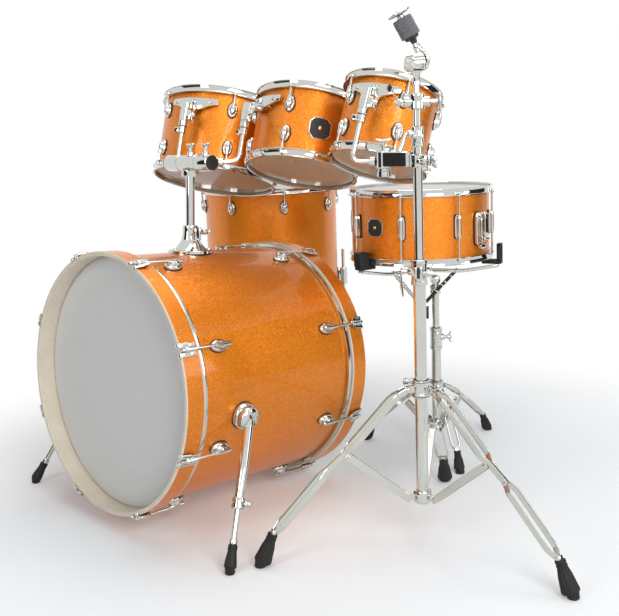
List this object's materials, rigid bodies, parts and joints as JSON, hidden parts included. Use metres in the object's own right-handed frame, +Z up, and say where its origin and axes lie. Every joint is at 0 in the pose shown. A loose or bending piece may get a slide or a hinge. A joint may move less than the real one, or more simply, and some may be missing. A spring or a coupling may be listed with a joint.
{
  "type": "drum kit",
  "caption": "Acoustic drum kit in orange sparkle with chrome hardware: bass drum, hung toms, floor tom, snare drum on its stand and a double-braced cymbal stand",
  "frame": {"origin": "on the floor, under the middle of the kit's bounding box", "axes": "+Z up; -Y faces the audience, the way the bass drum's front head points; +X is to the player's left, towards the cymbal stand"},
  "size_m": [1.5983, 1.1268, 1.0897],
  "materials": {
    "orange_sparkle": "orange sparkle wrap under clear lacquer",
    "chrome": "polished chrome plate",
    "drum_head": "coated white film",
    "hoop_wood": "lacquered wood with an orange sparkle inlay",
    "rubber": "matt black rubber"
  },
  "bodies": {
    "kit": {"bass_shell": "orange_sparkle", "bass_front_hoop": "hoop_wood", "bass_batter_hoop": "hoop_wood", "bass_front_head": "drum_head", "bass_batter_head": "drum_head", "floor_tom_shell": "orange_sparkle", "floor_tom_batter_hoop": "chrome", "floor_tom_batter_head": "drum_head", "floor_tom_bottom_hoop": "chrome", "cymbal_stand_base_tube": "chrome", "snare_stand_base_tube": "chrome"},
    "spur_left": {"spur_leg_left": "chrome"},
    "spur_right": {"spur_leg_right": "chrome"},
    "spur_left_tip": {"spur_tip_left": "rubber"},
    "spur_right_tip": {"spur_tip_right": "rubber"},
    "tom_post": {"tom_post": "chrome"},
    "tom_holder": {"tom_holder": "chrome"},
    "large_tom_arm": {"large_tom_arm": "chrome"},
    "middle_tom_arm": {"middle_tom_arm": "chrome"},
    "small_tom_arm": {"small_tom_arm": "chrome"},
    "large_tom": {"large_tom_shell": "orange_sparkle", "large_tom_batter_hoop": "chrome", "large_tom_batter_head": "drum_head", "large_tom_bottom_hoop": "chrome"},
    "middle_tom": {"middle_tom_shell": "orange_sparkle", "middle_tom_batter_hoop": "chrome", "middle_tom_batter_head": "drum_head", "middle_tom_bottom_hoop": "chrome"},
    "small_tom": {"small_tom_shell": "orange_sparkle", "small_tom_batter_hoop": "chrome", "small_tom_batter_head": "drum_head", "small_tom_bottom_hoop": "chrome"},
    "floor_tom_leg_1": {"floor_tom_leg_1": "chrome"},
    "floor_tom_leg_2": {"floor_tom_leg_2": "chrome"},
    "floor_tom_leg_3": {"floor_tom_leg_3": "chrome"},
    "small_tom_clamp": {"small_tom_clamp": "chrome"},
    "cymbal_stand_collar": {"cymbal_stand_collar": "chrome"},
    "cymbal_stand_mast": {"cymbal_stand_mast": "chrome"},
    "cymbal_stand_top_rod": {"cymbal_stand_top_rod": "chrome"},
    "cymbal_tilter": {"cymbal_tilter": "chrome"},
    "snare_stand_collar": {"snare_stand_collar": "chrome"},
    "snare_stand_upper_tube": {"snare_stand_upper_tube": "chrome"},
    "snare_basket": {"snare_basket": "chrome"},
    "snare_drum": {"snare_shell": "orange_sparkle", "snare_batter_hoop": "chrome", "snare_batter_head": "drum_head", "snare_bottom_hoop": "chrome"},
    "snare_throw_off": {"snare_throw_off_lever": "chrome"},
    "cymbal_stand_leg_1": {"cymbal_stand_leg_1": "chrome"},
    "cymbal_stand_brace_1": {"cymbal_stand_brace_1": "chrome"},
    "cymbal_stand_leg_2": {"cymbal_stand_leg_2": "chrome"},
    "cymbal_stand_brace_2": {"cymbal_stand_brace_2": "chrome"},
    "cymbal_stand_leg_3": {"cymbal_stand_leg_3": "chrome"},
    "cymbal_stand_brace_3": {"cymbal_stand_brace_3": "chrome"},
    "snare_stand_leg_1": {"snare_stand_leg_1": "chrome"},
    "snare_stand_brace_1": {"snare_stand_brace_1": "chrome"},
    "snare_stand_leg_2": {"snare_stand_leg_2": "chrome"},
    "snare_stand_brace_2": {"snare_stand_brace_2": "chrome"},
    "snare_stand_leg_3": {"snare_stand_leg_3": "chrome"},
    "snare_stand_brace_3": {"snare_stand_brace_3": "chrome"}
  },
  "joints": [
    {"name": "spur_left_fold", "type": "hinge", "parent": "kit", "child": "spur_left", "pos_m": [0.14349, -0.3827, 0.26813], "axis": [-0.9863, 0.0108, 0.1647], "range_deg": [0, 55]},
    {"name": "spur_left_extend", "type": "slide", "parent": "spur_left", "child": "spur_left_tip", "axis": [0.2631, -0.464, -0.8458], "range_m": [-0.03, 0.05]},
    {"name": "spur_right_fold", "type": "hinge", "parent": "kit", "child": "spur_right", "pos_m": [-0.43309, -0.3827, 0.26813], "axis": [-0.9863, -0.0108, -0.1647], "range_deg": [0, 55]},
    {"name": "spur_right_extend", "type": "slide", "parent": "spur_right", "child": "spur_right_tip", "axis": [-0.2631, -0.464, -0.8458], "range_m": [-0.03, 0.05]},
    {"name": "tom_post_height", "type": "slide", "parent": "kit", "child": "tom_post", "axis": [0, 0.0656, 0.9978], "range_m": [-0.04, 0.08]},
    {"name": "tom_holder_swivel", "type": "hinge", "parent": "tom_post", "child": "tom_holder", "pos_m": [-0.1448, -0.26976, 0.79711], "axis": [0, 0.0656, 0.9978], "range_deg": [-3, 3]},
    {"name": "large_tom_tilt", "type": "hinge", "parent": "tom_holder", "child": "large_tom_arm", "pos_m": [-0.2198, -0.2494, 0.7971], "axis": [-0.775, 0.6319, 0], "range_deg": [-8, 8]},
    {"name": "middle_tom_tilt", "type": "hinge", "parent": "tom_holder", "child": "middle_tom_arm", "pos_m": [-0.0779, -0.2423, 0.7971], "axis": [0.5242, 0.8516, 0], "range_deg": [-8, 8]},
    {"name": "large_tom_swivel", "type": "hinge", "parent": "large_tom_arm", "child": "large_tom", "pos_m": [-0.25662, -0.1935, 0.89898], "axis": [-0.0756, 0.3031, 0.95], "range_deg": [-2, 30]},
    {"name": "middle_tom_swivel", "type": "hinge", "parent": "middle_tom_arm", "child": "middle_tom", "pos_m": [-0.06258, -0.16267, 0.90092], "axis": [-0.0897, 0.347, 0.9336], "range_deg": [-4, 2]},
    {"name": "floor_tom_leg_1_height", "type": "slide", "parent": "kit", "child": "floor_tom_leg_1", "axis": [0, 0, 1], "range_m": [-0.1, 0.08]},
    {"name": "floor_tom_leg_2_height", "type": "slide", "parent": "kit", "child": "floor_tom_leg_2", "axis": [0, 0, 1], "range_m": [-0.1, 0.08]},
    {"name": "floor_tom_leg_3_height", "type": "slide", "parent": "kit", "child": "floor_tom_leg_3", "axis": [0, 0, 1], "range_m": [-0.1, 0.08]},
    {"name": "cymbal_stand_fold", "type": "slide", "parent": "kit", "child": "cymbal_stand_collar", "axis": [0, 0, 1], "range_m": [0, 0.1]},
    {"name": "cymbal_stand_leg_1_fold", "type": "hinge", "parent": "cymbal_stand_collar", "child": "cymbal_stand_leg_1", "pos_m": [0.47029, -0.16811, 0.334], "axis": [0.0295, 0.9996, 0], "range_deg": [0, 31.17]},
    {"name": "cymbal_stand_brace_1_fold", "type": "hinge", "parent": "kit", "child": "cymbal_stand_brace_1", "pos_m": [0.47378, -0.16822, 0.104], "axis": [-0.0295, -0.9996, 0], "range_deg": [0, 35.96]},
    {"name": "cymbal_stand_leg_2_fold", "type": "hinge", "parent": "cymbal_stand_collar", "child": "cymbal_stand_leg_2", "pos_m": [0.4246, -0.13991, 0.334], "axis": [-0.8804, -0.4742, 0], "range_deg": [0, 31.17]},
    {"name": "cymbal_stand_brace_2_fold", "type": "hinge", "parent": "kit", "child": "cymbal_stand_brace_2", "pos_m": [0.42294, -0.13683, 0.104], "axis": [0.8804, 0.4742, 0], "range_deg": [0, 35.96]},
    {"name": "cymbal_stand_leg_3_fold", "type": "hinge", "parent": "cymbal_stand_collar", "child": "cymbal_stand_leg_3", "pos_m": [0.42301, -0.19358, 0.334], "axis": [0.8509, -0.5253, 0], "range_deg": [0, 31.17]},
    {"name": "cymbal_stand_brace_3_fold", "type": "hinge", "parent": "kit", "child": "cymbal_stand_brace_3", "pos_m": [0.42118, -0.19656, 0.104], "axis": [-0.8509, 0.5253, 0], "range_deg": [0, 35.96]},
    {"name": "snare_stand_fold", "type": "slide", "parent": "kit", "child": "snare_stand_collar", "axis": [0, 0, 1], "range_m": [0, 0.036]},
    {"name": "snare_stand_leg_1_fold", "type": "hinge", "parent": "snare_stand_collar", "child": "snare_stand_leg_1", "pos_m": [0.13399, 0.3114, 0.168], "axis": [0.6143, 0.7891, 0], "range_deg": [0, 28.98]},
    {"name": "snare_stand_brace_1_fold", "type": "hinge", "parent": "kit", "child": "snare_stand_brace_1", "pos_m": [0.13755, 0.30864, 0.066], "axis": [-0.6143, -0.7891, 0], "range_deg": [0, 31.14]},
    {"name": "snare_stand_leg_2_fold", "type": "hinge", "parent": "snare_stand_collar", "child": "snare_stand_leg_2", "pos_m": [0.11575, 0.35633, 0.168], "axis": [-0.9905, 0.1374, 0], "range_deg": [0, 28.98]},
    {"name": "snare_stand_brace_2_fold", "type": "hinge", "parent": "kit", "child": "snare_stand_brace_2", "pos_m": [0.11637, 0.36079, 0.066], "axis": [0.9905, -0.1374, 0], "range_deg": [0, 31.14]},
    {"name": "snare_stand_leg_3_fold", "type": "hinge", "parent": "snare_stand_collar", "child": "snare_stand_leg_3", "pos_m": [0.08596, 0.31807, 0.168], "axis": [0.3762, -0.9265, 0], "range_deg": [0, 28.98]},
    {"name": "snare_stand_brace_3_fold", "type": "hinge", "parent": "kit", "child": "snare_stand_brace_3", "pos_m": [0.08179, 0.31637, 0.066], "axis": [-0.3762, 0.9265, 0], "range_deg": [0, 31.14]},
    {"name": "cymbal_stand_height", "type": "slide", "parent": "kit", "child": "cymbal_stand_mast", "axis": [0, 0, 1], "range_m": [0, 0.1]},
    {"name": "small_tom_clamp_swivel", "type": "hinge", "parent": "cymbal_stand_mast", "child": "small_tom_clamp", "pos_m": [0.4393, -0.1672, 0.795], "axis": [0, 0, 1], "range_deg": [-4, 30]},
    {"name": "small_tom_tilt", "type": "hinge", "parent": "small_tom_clamp", "child": "small_tom_arm", "pos_m": [0.3457, -0.182, 0.795], "axis": [-0.9155, -0.4023, 0], "range_deg": [-8, 8]},
    {"name": "small_tom_swivel", "type": "hinge", "parent": "small_tom_arm", "child": "small_tom", "pos_m": [0.29386, -0.15179, 0.91678], "axis": [-0.0239, 0.39, 0.9205], "range_deg": [-30, 3]},
    {"name": "top_rod_height", "type": "slide", "parent": "cymbal_stand_mast", "child": "cymbal_stand_top_rod", "axis": [0, 0, 1], "range_m": [0, 0.1]},
    {"name": "cymbal_tilt", "type": "hinge", "parent": "cymbal_stand_top_rod", "child": "cymbal_tilter", "pos_m": [0.4393, -0.1672, 0.9816], "axis": [0.7169, 0.6972, 0], "range_deg": [-45, 45]},
    {"name": "snare_stand_height", "type": "slide", "parent": "kit", "child": "snare_stand_upper_tube", "axis": [0, 0, 1], "range_m": [-0.02, 0.1]},
    {"name": "snare_basket_tilt", "type": "hinge", "parent": "snare_stand_upper_tube", "child": "snare_basket", "pos_m": [0.1119, 0.3286, 0.462], "axis": [-0.7004, 0.7138, 0], "range_deg": [-4, 12]},
    {"name": "snare_drum_lift", "type": "slide", "parent": "snare_basket", "child": "snare_drum", "axis": [0, 0, 1], "range_m": [0, 0.1]},
    {"name": "snare_throw_off", "type": "hinge", "parent": "snare_drum", "child": "snare_throw_off", "pos_m": [0.2885, 0.3024, 0.583], "axis": [0, 1, 0], "range_deg": [0, 75]}
  ],
  "couplings": [
    {"joint": "cymbal_stand_leg_1_fold", "follows": "cymbal_stand_fold", "rad_per_m": 5.4227},
    {"joint": "cymbal_stand_brace_1_fold", "follows": "cymbal_stand_fold", "rad_per_m": 6.2591},
    {"joint": "cymbal_stand_leg_2_fold", "follows": "cymbal_stand_fold", "rad_per_m": 5.4227},
    {"joint": "cymbal_stand_brace_2_fold", "follows": "cymbal_stand_fold", "rad_per_m": 6.2591},
    {"joint": "cymbal_stand_leg_3_fold", "follows": "cymbal_stand_fold", "rad_per_m": 5.4227},
    {"joint": "cymbal_stand_brace_3_fold", "follows": "cymbal_stand_fold", "rad_per_m": 6.2591},
    {"joint": "snare_stand_leg_1_fold", "follows": "snare_stand_fold", "rad_per_m": 14.002},
    {"joint": "snare_stand_brace_1_fold", "follows": "snare_stand_fold", "rad_per_m": 15.048},
    {"joint": "snare_stand_leg_2_fold", "follows": "snare_stand_fold", "rad_per_m": 14.002},
    {"joint": "snare_stand_brace_2_fold", "follows": "snare_stand_fold", "rad_per_m": 15.048},
    {"joint": "snare_stand_leg_3_fold", "follows": "snare_stand_fold", "rad_per_m": 14.002},
    {"joint": "snare_stand_brace_3_fold", "follows": "snare_stand_fold", "rad_per_m": 15.048}
  ]
}
